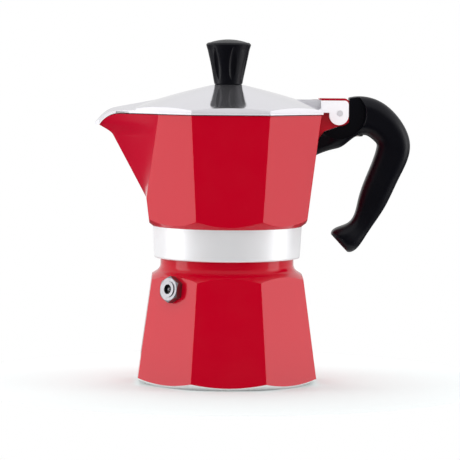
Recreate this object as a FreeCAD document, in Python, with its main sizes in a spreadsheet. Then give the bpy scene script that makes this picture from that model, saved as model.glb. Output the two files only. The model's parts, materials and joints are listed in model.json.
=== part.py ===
import FreeCAD, Part
import math
import os
import re
import Sketcher
from FreeCAD import Placement, Rotation, Vector

# Octagonal stove-top moka pot, three cups. Millimetres, +Z up.
# The origin is on the pot's axis in the plane that it stands on. The handle is at +X, the spout at -X.

# Driving dimensions: alias, value, meaning
SIZES = [
    # Boiler
    ("boiler_height", 70.0, "base plane to the boiler's rim"),
    ("base_flats", 85.6, "boiler across flats, at the base plane"),
    ("shoulder_flats", 70.9, "boiler across flats, at the shoulder"),
    ("shoulder_height", 54.4, "base plane to where the turned shoulder meets the neck"),
    ("shoulder_slope", 32.0, "fall of the turned shoulder, degrees"),
    ("base_contact_radius", 40.4, "turned foot of the boiler"),
    ("base_bevel", 30.0, "rise of the turned bevel round the foot, degrees"),
    ("facet_edge_radius", 0.7, "rounding of the cast edges between facets"),
    ("neck_radius", 31.9, "plain neck below the thread"),
    ("neck_fillet", 4.0, "hollow between shoulder and neck"),
    ("neck_bore_radius", 28.2, "mouth of the boiler"),
    ("boiler_wall", 3.2, "casting thickness"),
    ("boiler_floor", 3.4, "casting thickness under the water"),
    ("thread_depth", 0.9, "neck turned down for the thread"),
    ("thread_length", 8.5, "thread below the rim"),
    ("thread_clearance", 0.4, "skirt bore over the neck, on the radius"),
    # Safety valve
    ("valve_height", 46.0, "base plane to the valve, on its facet"),
    ("valve_azimuth", 225.0, "facet that carries the valve, degrees from +X"),
    ("hex_flats", 11.0, "valve body across flats"),
    ("hex_thickness", 3.5, "valve body outside the facet"),
    ("valve_ring_radius", 3.75, "raised ring on the hexagon"),
    ("valve_ring_height", 0.5, "raised ring on the hexagon"),
    ("valve_shank_radius", 5.0, "threaded shank in the wall"),
    ("valve_shank_length", 7.0, "shank from the facet inwards"),
    ("valve_fit", 0.05, "shank and seat in their holes, on the radius"),
    ("valve_chamber_radius", 3.3, "spring chamber"),
    ("valve_mouth_radius", 2.3, "hole that the pin shows in"),
    ("valve_mouth_depth", 2.4, "length of that hole"),
    ("valve_seat_length", 1.6, "seat ring pressed into the inner end"),
    ("valve_seat_bore_radius", 1.8, "steam hole of the seat ring"),
    ("valve_pin_radius", 1.25, "stem of the pin"),
    ("valve_pin_recess", 0.5, "end of the pin below the raised ring"),
    ("valve_head_radius", 2.85, "head that closes the seat"),
    ("valve_head_length", 1.5, "head that closes the seat"),
    ("spring_wire_radius", 0.3, "valve spring"),
    ("spring_coil_radius", 2.25, "valve spring, at the middle of the wire"),
    ("spring_turns", 4.0, "valve spring"),
    # Funnel and its sieve
    ("funnel_flange_radius", 30.4, "flange that lies on the boiler's rim"),
    ("funnel_flange", 1.0, "flange thickness"),
    ("funnel_sheet", 0.8, "sheet thickness"),
    ("funnel_fit", 0.35, "basket in the boiler's mouth, on the radius"),
    ("basket_depth", 21.0, "rim to the sieve"),
    ("funnel_cone_drop", 9.0, "height of the cone"),
    ("stem_radius", 5.2, "tube of the funnel"),
    ("stem_clearance", 3.0, "end of the tube above the boiler's floor"),
    ("sieve_thickness", 0.8, "perforated discs"),
    ("sieve_hole_radius", 0.9, "perforations"),
    ("sieve_ring_step", 6.2, "between rings of perforations"),
    # Gasket and filter plate
    ("gasket_thickness", 4.0, "between funnel and collector"),
    ("gasket_inner_radius", 25.9, "gasket"),
    ("gasket_fit", 0.25, "gasket in the skirt, on the radius"),
    ("plate_radius", 27.4, "filter plate above the gasket"),
    ("plate_fit", 0.2, "plate in its recess, on the radius"),
    # Collector
    ("skirt_depth", 15.4, "gasket seat to the lower edge of the band"),
    ("skirt_height", 15.2, "turned band"),
    ("skirt_bottom_radius", 34.92, "turned band, lower edge"),
    ("skirt_top_radius", 35.74, "turned band, upper edge"),
    ("skirt_edge_radius", 1.0, "rounding of the band's lower edge"),
    ("underside_slope", 38.0, "rise of the turned underside, degrees"),
    ("foot_flats", 74.3, "collector across flats, above the band"),
    ("rim_flats", 87.4, "collector across flats, at the rim"),
    ("bowl_height", 53.5, "band to rim"),
    ("collector_wall", 2.8, "casting thickness"),
    ("bowl_floor", 5.2, "gasket seat to the floor of the bowl"),
    ("dome_radius", 24.6, "hollow above the filter plate"),
    ("dome_rise", 2.0, "hollow above the filter plate"),
    # Spout
    ("spout_root_height", 13.6, "band to the foot of the spout"),
    ("spout_foot_stand", 0.2, "ridge outside the facet, at the foot of the spout"),
    ("spout_rim_half", 28.4, "half width where the spout leaves the facets, at the rim"),
    ("spout_lean", 28.2, "lean of the ridge from upright, degrees"),
    ("spout_flare_length", 5.3, "tip of the lip down to where the nose starts to flare"),
    ("spout_flare_reach", 4.1, "flare of the nose at the tip"),
    ("spout_tip_drop", 5.5, "rim to the tip of the lip"),
    ("spout_lip_start", 51.8, "axis to where the lip turns down"),
    ("spout_nose_radius", 5.0, "rounding of the ridge"),
    ("spout_bow", 15.0, "hollow of the flanks at the rim, degrees at each end"),
    ("spout_wall", 2.8, "casting thickness of the spout"),
    # Chimney
    ("chimney_spigot_radius", 7.0, "spigot in the bowl's floor"),
    ("chimney_flange_radius", 10.5, "collar on the bowl's floor"),
    ("chimney_flange", 1.8, "collar thickness"),
    ("chimney_foot_radius", 8.0, "column above the collar"),
    ("chimney_tip_radius", 5.8, "column below its cap"),
    ("chimney_height", 36.5, "bowl's floor to the top of the column"),
    ("chimney_cap_height", 3.0, "domed cap"),
    ("chimney_bore_radius", 3.4, "riser"),
    ("chimney_slot_width", 4.0, "side openings"),
    ("chimney_slot_height", 6.0, "side openings"),
    # Hinge
    ("hinge_offset", 9.4, "rim facet to the pin"),
    ("hinge_rise", 0.8, "rim to the pin"),
    ("pin_radius", 1.35, "hinge pin"),
    ("pin_fit", 0.05, "lid's ears on the pin, on the radius"),
    ("pin_stand", 0.25, "end of the pin outside the ear"),
    ("lug_width", 9.0, "lug between the ears"),
    ("lug_top", 7.1, "pin to the top of the lug"),
    ("lug_front", 4.4, "pin to the end of the lug"),
    ("lug_back", 9.6, "pin to the top of the lug's back"),
    ("lug_heel", 6.0, "pin to the rounded underside of the lug"),
    ("lug_corner", 2.0, "rounded upper corner"),
    ("lug_foot_drop", 13.6, "pin to where the lug leaves the facet"),
    ("tongue_width", 5.0, "tongue inside the handle"),
    ("tongue_reach", 14.0, "pin to the end of the tongue"),
    ("tongue_top", 2.6, "tongue below the pin, upper face"),
    ("tongue_bottom", 8.4, "tongue below the pin, lower face"),
    # Lid
    ("lid_gap", 0.4, "lid above the rim"),
    ("lid_overhang", 0.4, "lid outside the rim, on each side"),
    ("lid_height", 13.6, "lower edge to the knob's seat"),
    ("lid_corner_edge", 0.35, "edge left at the far end of the crown"),
    ("lid_crown", 350.0, "radius of the turned crown"),
    ("lid_thickness", 1.8, "lid's sheet"),
    ("lid_side_wall", 2.2, "lid's flange"),
    ("lid_flange_inner", 1.1, "inside height of the flange"),
    ("lid_bead", 0.45, "bead round the lower edge, outwards"),
    ("lid_bead_height", 0.8, "bead round the lower edge"),
    ("beak_overhang", 0.5, "beak outside the spout's rim, across the pot"),
    ("beak_trim", 1.2, "beak before its plan is trimmed, outside the spout's rim"),
    ("beak_low", 5.9, "lid's lower edge to the lower end of the beak's tip"),
    ("vent_start", 47.4, "axis to the slot that lets steam out"),
    ("vent_length", 6.2, "steam slot along the spout"),
    ("vent_height", 0.6, "steam slot above the lid's lower edge"),
    ("arm_width", 12.0, "hinge arm on the lid"),
    ("arm_top", 6.4, "pin to the flat top of the arm"),
    ("ears_width", 16.0, "over both ears"),
    ("ear_gap", 0.3, "ear to lug"),
    ("ear_top", 6.1, "pin to the top of the ear"),
    ("ear_front", 4.1, "pin to the end of the ear"),
    ("ear_back", 5.1, "pin to the back of the ear's lower half"),
    ("ear_drop", 0.95, "pin to the middle of the ear's rounded end"),
    ("ear_corner", 2.0, "rounded upper corner"),
    ("ear_root", 9.2, "pin to the back of the ear"),
    ("fork_depth", 12.8, "pin to the end of the slot between the ears"),
    # Knob
    ("knob_seat_radius", 7.0, "flat for the knob"),
    ("knob_foot_radius", 6.7, "knob, lower end"),
    ("knob_rim_radius", 10.75, "knob, widest"),
    ("knob_rim_height", 19.0, "seat to the widest part"),
    ("knob_side_radius", 10.05, "knob below the rounded rim"),
    ("knob_side_height", 16.7, "seat to below the rounded rim"),
    ("knob_height", 21.6, "seat to the top"),
    ("knob_crown", 28.0, "radius of the domed top"),
    ("knob_edge_round", 1.7, "rounded rim, inwards from the widest part"),
    ("knob_edge_radius", 1.7, "rounded rim"),
    ("knob_foot_bevel", 0.5, "bevel at the lower end"),
    ("knob_flutes", 7, "flutes round the knob"),
    ("flute_start", 1.8, "seat to the lower end of a flute"),
    ("flute_end", 17.2, "seat to the upper end of a flute"),
    ("flute_half", 2.1, "half width of a flute at its middle"),
    ("flute_depth", 1.0, "depth of a flute at its middle"),
    ("knob_screw_radius", 2.0, "screw up into the knob"),
    ("knob_screw_depth", 11.0, "screw inside the knob"),
    ("knob_screw_head_radius", 3.6, "pan head"),
    ("knob_screw_head", 2.3, "pan head"),
    ("knob_washer_radius", 5.4, "washer under the lid"),
    ("knob_washer", 0.8, "washer thickness"),
    ("screw_fit", 0.15, "screws in their clearance holes, on the radius"),
    # Handle
    ("handle_gap", 0.3, "handle to the collector"),
    ("handle_corner", 0.72, "corner radius over the lesser half size of a section"),
    ("swing_radius", 12.3, "room for the ears to swing"),
    ("swing_rim_round", 1.5, "rounding of the rim of that room"),
    ("web_fit", 0.25, "web inside the ears, on each side"),
    ("tongue_fit", 0.2, "tongue in its slot, on each side"),
    ("handle_screw_reach", 9.0, "pin to the handle's screw"),
    ("handle_screw_radius", 1.5, "screw up into the tongue"),
    ("handle_screw_depth", 4.4, "screw inside the tongue"),
    ("handle_screw_head_radius", 2.8, "pan head"),
    ("handle_screw_head", 1.7, "pan head"),
    ("handle_screw_floor", 1.0, "handle between screw head and tongue"),
]

# Heights and places that follow from the sizes
PLACES = [
    ("base_apothem", "base_flats / 2"),
    ("shoulder_apothem", "shoulder_flats / 2"),
    ("boiler_draft", "atan((base_apothem - shoulder_apothem) / shoulder_height)"),
    ("valve_apothem", "base_apothem - valve_height * tan(boiler_draft)"),
    ("clear_radius", "base_flats * 0.7"),
    ("seat_height", "boiler_height + funnel_flange + gasket_thickness"),
    ("skirt_bottom", "seat_height - skirt_depth"),
    ("skirt_top", "skirt_bottom + skirt_height"),
    ("skirt_bore", "neck_radius + thread_clearance"),
    ("rim_height", "skirt_top + bowl_height"),
    ("floor_height", "seat_height + bowl_floor"),
    ("bowl_flare", "(rim_flats - foot_flats) / 2 / bowl_height"),
    ("spout_tip_height", "rim_height - spout_tip_drop"),
    ("spout_flare_start", "spout_tip_height - spout_flare_length"),
    ("spout_start", "skirt_top + spout_root_height"),
    ("spout_foot_apothem", "foot_flats / 2 + spout_root_height * bowl_flare"),
    ("spout_foot_half", "spout_foot_apothem * tan(22.5)"),
    ("spout_foot_reach", "spout_foot_apothem + spout_foot_stand"),
    ("spout_tip_reach", "spout_foot_reach + (spout_tip_height - spout_start) * tan(spout_lean)"
                        " + spout_flare_reach"),
    ("lip_run", "spout_tip_reach - spout_lip_start"),
    ("lip_radius", "(lip_run ^ 2 + spout_tip_drop ^ 2) / 2 / spout_tip_drop"),
    ("hinge_reach", "rim_flats / 2 + hinge_offset"),
    ("hinge_height", "rim_height + hinge_rise"),
    ("lid_bottom", "rim_height + lid_gap"),
    ("lid_apothem", "rim_flats / 2 + lid_overhang"),
    ("knob_seat", "lid_bottom + lid_height"),
    ("web_width", "lug_width + 2 * ear_gap - 2 * web_fit"),
    ("flute_middle", "(flute_start + flute_end) / 2"),
    ("flute_stand", "(flute_half ^ 2 / flute_depth - flute_depth) / 2"),
    ("flute_bulge", "(((flute_end - flute_start) / 2) ^ 2 + flute_depth ^ 2) / 2 / flute_depth"),
    ("flute_run", "sqrt(flute_bulge ^ 2 - (flute_bulge - flute_stand - flute_depth) ^ 2)"),
    ("basket_radius", "neck_bore_radius - funnel_fit"),
    ("sieve_height", "boiler_height - basket_depth"),
]

# Level sections of the spout, from its foot to the rim
SPOUT_HEIGHTS = ["spout_start", "spout_flare_start", "(spout_flare_start + spout_tip_height) / 2",
                 "spout_tip_height", "rim_height"]
for station, level in enumerate(SPOUT_HEIGHTS):
    mark = f"spout_{station}"
    PLACES += [
        (f"{mark}_level", level),
        (f"{mark}_apothem", f"foot_flats / 2 + ({mark}_level - skirt_top) * bowl_flare"),
        (f"{mark}_share", f"({mark}_level - spout_start) / (rim_height - spout_start)"),
        (f"{mark}_half", f"spout_foot_half + (spout_rim_half - spout_foot_half) * {mark}_share"),
        (f"{mark}_crease", f"{mark}_apothem * sqrt(2) - {mark}_half"),
        (f"{mark}_flare", f"min(max({mark}_level - spout_flare_start; 0)"
                          f" / (spout_tip_height - spout_flare_start); 1)"),
        (f"{mark}_bow", f"spout_bow * {mark}_share"),
        (f"{mark}_tip", f"spout_foot_reach + ({mark}_level - spout_start) * tan(spout_lean)"
                        f" + spout_flare_reach * {mark}_flare ^ 2"),
    ]
    inner_root = f"spout_wall * (1.35 - {mark}_share / 2)"
    for side, nose, behind, beside, before in (
            ("out", "spout_nose_radius", "0", "0", "0"),
            ("in", "spout_nose_radius / 2", inner_root, "0.65 * spout_wall", "1.15 * spout_wall")):
        PLACES += [
            (f"{mark}_{side}_half", f"{mark}_half - {beside}"),
            (f"{mark}_{side}_root", f"{mark}_crease - {behind}"),
            (f"{mark}_{side}_middle", f"{mark}_tip - {before} - {nose}"),
            (f"{mark}_{side}_back", f"{mark}_{side}_middle - {mark}_{side}_root"),
            (f"{mark}_{side}_turn", f"atan2({mark}_{side}_half; -{mark}_{side}_back) - acos({nose}"
                                    f" / sqrt({mark}_{side}_back ^ 2 + {mark}_{side}_half ^ 2))"
                                    f" + {mark}_bow * 1 deg"),
            (f"{mark}_{side}_touch", f"{mark}_{side}_middle + {nose} * cos({mark}_{side}_turn)"),
            (f"{mark}_{side}_aside", f"{nose} * sin({mark}_{side}_turn)"),
            (f"{mark}_{side}_chord", f"sqrt(({mark}_{side}_touch - {mark}_{side}_root) ^ 2"
                                     f" + ({mark}_{side}_half - {mark}_{side}_aside) ^ 2)"),
        ]

# Sections along the lid's beak: past the start of the lip, and from the lid's lower edge up to the
# beak's side and to its ridge
BEAK = [(-22.8, 2.2, 7.2), (-13.8, 2.1, 5.65), (-5.8, 1.2, 4.1), (1.2, 0.9, 2.8), (6.2, -0.4, 0.95),
        (9.7, -3.1, -2.2), (11.9, -5.2, -4.7)]
for station, beak_row in enumerate(BEAK):
    for word, amount in zip(("past_lip", "side", "ridge"), beak_row):
        SIZES.append((f"beak_{station}_{word}", amount, "section of the lid's beak"))
    mark = f"beak_{station}"
    flank_run = "(spout_4_out_touch - spout_4_out_root)"
    PLACES += [
        (f"{mark}_reach", f"spout_lip_start + {mark}_past_lip"),
        (f"{mark}_way", f"max({mark}_reach - spout_4_out_root; 0) / {flank_run}"),
        (f"{mark}_hollow", f"2 * {mark}_way * (1 - {mark}_way) * spout_4_out_chord ^ 2"
                           f" * tan(spout_bow / 2) / {flank_run}"),
        (f"{mark}_half", f"spout_rim_half * (1 - {mark}_way) + spout_4_out_aside * {mark}_way"
                         f" - {mark}_hollow"),
    ]

# Sections along the handle: from the hinge pin outwards and upwards, direction of the handle in
# degrees, half depth and half width. The first one follows the facet that the handle stands against.
HANDLE = [(-10.6, -13.2, -7.0, 7.3, 6.0), (-2.1, -9.2, 22.0, 7.6, 7.4), (4.4, -2.6, 16.0, 9.4, 8.2),
          (14.3, -1.6, -6.0, 9.1, 8.2), (21.4, -6.0, -30.6, 8.4, 8.2), (26.2, -14.7, -81.0, 7.85, 8.0),
          (22.7, -27.05, -112.7, 7.35, 7.4), (15.9, -43.15, -113.0, 6.45, 6.8),
          (9.15, -55.55, -123.0, 5.15, 6.6), (1.5, -61.75, -137.0, 6.4, 7.6),
          (0.7, -62.35, -137.0, 5.5, 6.5)]
for station, handle_row in enumerate(HANDLE):
    for word, amount in zip(("across", "up", "heading", "depth", "width"), handle_row):
        SIZES.append((f"handle_{station}_{word}", amount, "section of the handle"))

doc = FreeCAD.newDocument("moka_pot")
sizes = doc.addObject("Spreadsheet::Sheet", "sizes")
for row, (alias, amount, meaning) in enumerate(SIZES, start=1):
    sizes.set(f"A{row}", meaning)
    sizes.set(f"B{row}", str(amount))
    sizes.setAlias(f"B{row}", alias)
OWNER = {alias: "sizes." for alias, amount, meaning in SIZES}
doc.recompute()


def linked(text):
    """Write an expression on the sheets' aliases with the sheet that each one belongs to."""
    return re.sub(r"[a-z]\w*", lambda word: OWNER.get(word[0], "") + word[0], str(text))


places = doc.addObject("Spreadsheet::Sheet", "places")
for row, (alias, formula) in enumerate(PLACES, start=1):
    places.set(f"A{row}", "=" + linked(formula))
    places.setAlias(f"A{row}", alias)
    OWNER[alias] = "places."
    doc.recompute()


def number(text):
    """The present value of an expression."""
    amount = places.evalExpression(linked(text))
    return float(getattr(amount, "Value", amount))


def new_body(label):
    body = doc.addObject("PartDesign::Body", label)
    body.Label = label
    return body


def origin_part(body, role):
    return next(part for part in body.Origin.OriginFeatures if part.Role == role)


def new_sketch(body, plane, name, offset=0, across=0, up=0, tilt=0):
    """A sketch on an origin plane, moved off along its normal, within it, and tilted about its X."""
    drawn = body.newObject("Sketcher::SketchObject", name)
    drawn.AttachmentSupport = [(origin_part(body, plane), "")]
    drawn.MapMode = "FlatFace"
    drawn.AttachmentOffset = Placement(Vector(), Rotation(Vector(1, 0, 0), number(tilt)))
    for axis, amount in zip("xyz", (across, up, offset)):
        drawn.setExpression(f"AttachmentOffset.Base.{axis}", linked(amount))
    return drawn


def arc_between(start, end, radius):
    """Arc from start to end about a centre on the left of the way, or on the right if radius < 0."""
    chord = end - start
    left = Vector(-chord.y, chord.x, 0).normalize()
    rise = math.sqrt(max(radius ** 2 - chord.Length ** 2 / 4, 0.0))
    centre = (start + end) / 2 + left * math.copysign(rise, radius)
    first, last = (start, end) if radius > 0 else (end, start)
    angles = [math.atan2(point.y - centre.y, point.x - centre.x) for point in (first, last)]
    return Part.ArcOfCircle(Part.Circle(centre, Vector(0, 0, 1), abs(radius)), *angles)


def outline(drawn, corners):
    """Closed outline through corners (across, up), or (across, up, radius) after an arc.

    Each corner's place, and each radius, is an expression that stays bound to the sheets.
    """
    points = [Vector(number(corner[0]), number(corner[1]), 0) for corner in corners]
    sides = []
    rules = []
    bindings = []
    for index, corner in enumerate(corners):
        start, end = points[index - 1], points[index]
        if len(corner) == 3:
            radius = number(corner[2])
            side = drawn.addGeometry(arc_between(start, end, radius), False)
            ends = (1, 2) if radius > 0 else (2, 1)
            bindings.append((len(rules), corner[2] if radius > 0 else f"-({corner[2]})"))
            rules.append(Sketcher.Constraint("Radius", side, abs(radius)))
        else:
            side = drawn.addGeometry(Part.LineSegment(start, end), False)
            ends = (1, 2)
        sides.append((side, ends))
    for index, corner in enumerate(corners):
        side, ends = sides[index]
        after, after_ends = sides[(index + 1) % len(sides)]
        rules.append(Sketcher.Constraint("Coincident", side, ends[1], after, after_ends[0]))
        for kind, amount, axis in (("DistanceX", corner[0], -2), ("DistanceY", corner[1], -1)):
            value = number(amount)
            if abs(value) < 1e-9:
                rules.append(Sketcher.Constraint("PointOnObject", side, ends[1], axis))
            elif value > 0:
                bindings.append((len(rules), amount))
                rules.append(Sketcher.Constraint(kind, -1, 1, side, ends[1], value))
            else:
                bindings.append((len(rules), f"-({amount})"))
                rules.append(Sketcher.Constraint(kind, side, ends[1], -1, 1, -value))
    drawn.addConstraint(rules)
    for index, amount in bindings:
        drawn.setExpression(f"Constraints[{index}]", linked(amount))
    return drawn


def circle(drawn, across, up, radius):
    middle = Vector(number(across), number(up), 0)
    ring = drawn.addGeometry(Part.Circle(middle, Vector(0, 0, 1), number(radius)), False)
    bindings = [(drawn.addConstraint(Sketcher.Constraint("Radius", ring, number(radius))), radius)]
    for kind, amount, axis in (("DistanceX", across, -2), ("DistanceY", up, -1)):
        value = number(amount)
        if abs(value) < 1e-9:
            drawn.addConstraint(Sketcher.Constraint("PointOnObject", ring, 3, axis))
        elif value > 0:
            rule = Sketcher.Constraint(kind, -1, 1, ring, 3, value)
            bindings.append((drawn.addConstraint(rule), amount))
        else:
            rule = Sketcher.Constraint(kind, ring, 3, -1, 1, -value)
            bindings.append((drawn.addConstraint(rule), f"-({amount})"))
    for index, amount in bindings:
        drawn.setExpression(f"Constraints[{index}]", linked(amount))
    return drawn


def octagon(drawn, apothem):
    half = f"({apothem}) * tan(22.5)"
    far = f"({apothem})"
    return outline(drawn, [(far, f"-{half}"), (far, half), (half, far), (f"-{half}", far),
                           (f"-{far}", half), (f"-{far}", f"-{half}"),
                           (f"-{half}", f"-{far}"), (half, f"-{far}")])


def oval(drawn, half_across, half_up, corner):
    """Rectangle about the sketch's origin with large rounded corners."""
    wide, tall = f"({half_across})", f"({half_up})"
    in_wide, in_tall = f"({wide} - {corner})", f"({tall} - {corner})"
    return outline(drawn, [(wide, f"-{in_tall}", corner), (wide, in_tall), (in_wide, tall, corner),
                           (f"-{in_wide}", tall), (f"-{wide}", in_tall, corner),
                           (f"-{wide}", f"-{in_tall}"), (f"-{in_wide}", f"-{tall}", corner),
                           (in_wide, f"-{tall}")])


VOLUMES = {}


def settle(body, feature, cuts):
    """Recompute, and make sure that the feature added to the body or cut it, and left it sound."""
    before = VOLUMES.get(body.Name, 0.0)
    doc.recompute()
    after = body.Shape.Volume
    sound = "Invalid" not in feature.State and body.Shape.isValid() and after > 0
    if not sound or (after < before - 1e-6) != cuts:
        raise RuntimeError(f"{body.Name} {feature.Name}: {before:.3f} to {after:.3f}, sound {sound}")
    VOLUMES[body.Name] = after
    return feature


def extruded(body, name, profile, length, cut=False, symmetric=True, reverse=False):
    made = body.newObject("PartDesign::Pocket" if cut else "PartDesign::Pad", name)
    made.Profile = profile
    made.SideType = "Symmetric" if symmetric else "One side"
    made.Reversed = reverse
    made.setExpression("Length", linked(length))
    return settle(body, made, cut)


def revolved(body, name, profile, cut=False, axis="V_Axis"):
    made = body.newObject("PartDesign::Groove" if cut else "PartDesign::Revolution", name)
    made.Profile = profile
    made.ReferenceAxis = (profile, [axis])
    made.Angle = 360
    return settle(body, made, cut)


def lofted(body, name, profiles, cut=False, ruled=False):
    made = body.newObject("PartDesign::SubtractiveLoft" if cut else "PartDesign::AdditiveLoft", name)
    made.Profile = profiles[0]
    made.Sections = profiles[1:]
    made.Ruled = ruled
    return settle(body, made, cut)


def rounded(body, name, radius, chosen, cuts=True):
    """Fillet on the edges of the body so far that chosen() picks. In a hollow it adds."""
    base = body.Tip
    names = [f"Edge{index}" for index, edge in enumerate(base.Shape.Edges, start=1) if chosen(edge)]
    made = body.newObject("PartDesign::Fillet", name)
    made.Base = (base, names)
    made.setExpression("Radius", linked(radius))
    return settle(body, made, cuts)


def repeated(body, name, feature, count):
    made = body.newObject("PartDesign::PolarPattern", name)
    made.Originals = [feature]
    made.Axis = (origin_part(body, "Z_Axis"), [""])
    made.Angle = 360
    made.setExpression("Occurrences", linked(count))
    body.Tip = made
    return settle(body, made, True)


def mirrored(body, name, feature):
    made = body.newObject("PartDesign::Mirrored", name)
    made.Originals = [feature]
    made.MirrorPlane = (origin_part(body, "XZ_Plane"), [""])
    body.Tip = made
    return settle(body, made, True)


def section_of_turning(body, name, corners):
    """Outline in the XZ plane, to be turned about the axis."""
    return outline(new_sketch(body, "XZ_Plane", name), corners)


def faceted(body, name, low, low_apothem, high, high_apothem):
    """Eight plane facets, cut from a turned blank between two heights."""
    blank = section_of_turning(body, f"{name}_blank_section", [
        ("0", low), ("clear_radius", low), ("clear_radius", high), ("0", high)])
    revolved(body, f"{name}_blank", blank)
    wedge = section_of_turning(body, f"{name}_facet_section", [
        (low_apothem, low), ("2 * clear_radius", low), ("2 * clear_radius", high), (high_apothem, high)])
    facet = extruded(body, f"{name}_facet", wedge, "4 * clear_radius", cut=True)
    repeated(body, f"{name}_facets", facet, "8")


def is_upright(edge):
    """An edge that climbs, such as the one between two facets."""
    box = edge.BoundBox
    return box.ZLength > 0.5 * max(box.XLength, box.YLength, 1.0)


def is_ring(edge, radius, height):
    """A full circle about the pot's axis, of this radius and at this height."""
    box = edge.BoundBox
    return (abs(box.ZMax - height) < 1e-4 and abs(box.ZMin - height) < 1e-4
            and abs(box.XMax - radius) < 1e-4)


def bowl_apothem(height):
    """Half of the collector across flats, outside, at a height."""
    return f"(foot_flats / 2 + (({height}) - skirt_top) * bowl_flare)"


def valve_placement():
    """The valve stands square to its facet: its own Z points outwards, from the facet's face."""
    azimuth = math.radians(number("valve_azimuth"))
    apothem = number("valve_apothem")
    spot = Vector(apothem * math.cos(azimuth), apothem * math.sin(azimuth), number("valve_height"))
    return Placement(spot, Rotation(number("valve_azimuth"), 90 - number("boiler_draft"), 0))


def make_boiler():
    body = new_body("boiler")
    faceted(body, "boiler", "0", "base_apothem", "shoulder_height", "shoulder_apothem")
    rounded(body, "boiler_facet_edges", "facet_edge_radius", is_upright)
    bevel_top = "(clear_radius - base_contact_radius) * tan(base_bevel)"
    bevel = section_of_turning(body, "foot_bevel", [
        ("base_contact_radius", "0"), ("clear_radius", "0"), ("clear_radius", bevel_top)])
    revolved(body, "turned_foot", bevel, cut=True)
    fall = "shoulder_height - (clear_radius - neck_radius) * tan(shoulder_slope)"
    slope = section_of_turning(body, "shoulder_slope", [
        ("neck_radius", "shoulder_height"), ("clear_radius", fall),
        ("clear_radius", "shoulder_height + boiler_wall"),
        ("neck_radius", "shoulder_height + boiler_wall")])
    revolved(body, "turned_shoulder", slope, cut=True)
    thread_start = "boiler_height - thread_length"
    root = "neck_radius - thread_depth"
    neck = section_of_turning(body, "neck", [
        ("0", "shoulder_height - boiler_wall"), ("neck_radius", "shoulder_height - boiler_wall"),
        ("neck_radius", thread_start), (root, f"{thread_start} + thread_depth"),
        (root, "boiler_height"), ("0", "boiler_height")])
    revolved(body, "turned_neck", neck)
    ring = (number("neck_radius"), number("shoulder_height"))
    rounded(body, "neck_hollow", "neck_fillet", lambda edge: is_ring(edge, *ring), cuts=False)
    inner_top = "shoulder_height - 2 * boiler_wall"
    chamber = section_of_turning(body, "water_chamber", [
        ("0", "boiler_floor"),
        ("base_apothem - boiler_wall - boiler_floor", "boiler_floor"),
        ("base_apothem - boiler_wall - boiler_floor * tan(boiler_draft)", "boiler_floor * 2",),
        ("shoulder_apothem - boiler_wall", inner_top),
        ("neck_bore_radius", f"{inner_top} + (shoulder_apothem - boiler_wall - neck_bore_radius)"),
        ("neck_bore_radius", "boiler_height + boiler_wall"), ("0", "boiler_height + boiler_wall")])
    revolved(body, "hollow", chamber, cut=True)
    hole = circle(new_sketch(body, "XY_Plane", "valve_hole"), "0", "0", "valve_shank_radius + valve_fit")
    for axis in "xyz":
        hole.setExpression(f"AttachmentOffset.Base.{axis}", None)
    hole.AttachmentOffset = valve_placement()
    extruded(body, "valve_seat", hole, "valve_shank_length * 3", cut=True)
    return body


def make_safety_valve():
    """Valve body, seat ring, pin and spring, each along its own Z and then stood on the facet."""
    chamber_end = "hex_thickness + valve_ring_height - valve_mouth_depth"
    inner_end = "-valve_shank_length"
    seat_face = "valve_seat_length - valve_shank_length"
    head_face = f"{seat_face} + valve_head_length"

    body = new_body("safety_valve_body")
    hexagon = new_sketch(body, "XY_Plane", "hexagon")
    far = "(hex_flats / 2 / cos(30))"
    outline(hexagon, [(far, "0"), (f"{far} / 2", "hex_flats / 2"), (f"-{far} / 2", "hex_flats / 2"),
                      (f"-{far}", "0"), (f"-{far} / 2", "-hex_flats / 2"),
                      (f"{far} / 2", "-hex_flats / 2")])
    extruded(body, "hex_head", hexagon, "hex_thickness", symmetric=False)
    turned = section_of_turning(body, "shank_and_ring", [
        ("0", inner_end), ("valve_shank_radius", inner_end), ("valve_shank_radius", "0.5 * hex_thickness"),
        ("valve_ring_radius", "0.5 * hex_thickness"),
        ("valve_ring_radius", "hex_thickness + valve_ring_height"),
        ("0", "hex_thickness + valve_ring_height")])
    revolved(body, "shank", turned)
    bore = section_of_turning(body, "bore", [
        ("0", f"{inner_end} - valve_seat_length"),
        ("valve_chamber_radius", f"{inner_end} - valve_seat_length"),
        ("valve_chamber_radius", chamber_end), ("valve_mouth_radius", chamber_end),
        ("valve_mouth_radius", "hex_thickness + 2 * valve_ring_height"),
        ("0", "hex_thickness + 2 * valve_ring_height")])
    revolved(body, "chamber", bore, cut=True)

    ring = new_body("valve_seat_ring")
    ring_outer = "valve_chamber_radius - valve_fit"
    seat = section_of_turning(ring, "seat_section", [
        ("valve_seat_bore_radius", inner_end), (ring_outer, inner_end), (ring_outer, seat_face),
        ("valve_seat_bore_radius", seat_face)])
    revolved(ring, "seat", seat)

    pin = new_body("valve_pin")
    tip = "hex_thickness + valve_ring_height - valve_pin_recess"
    stem = section_of_turning(pin, "pin_section", [
        ("0", seat_face), ("valve_head_radius", seat_face), ("valve_head_radius", head_face),
        ("valve_pin_radius", head_face), ("valve_pin_radius", f"{tip} - valve_pin_radius"),
        ("0", tip, "valve_pin_radius")])
    revolved(pin, "stem", stem)

    spring = doc.addObject("Part::Feature", "valve_spring")
    spring.Label = "valve_spring"
    spring.Shape = coil(number(f"{head_face} + spring_wire_radius"),
                        number(f"{chamber_end} - spring_wire_radius"))
    for piece in (body, ring, pin, spring):
        piece.Placement = valve_placement()
    return [body, ring, pin, spring]


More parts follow.
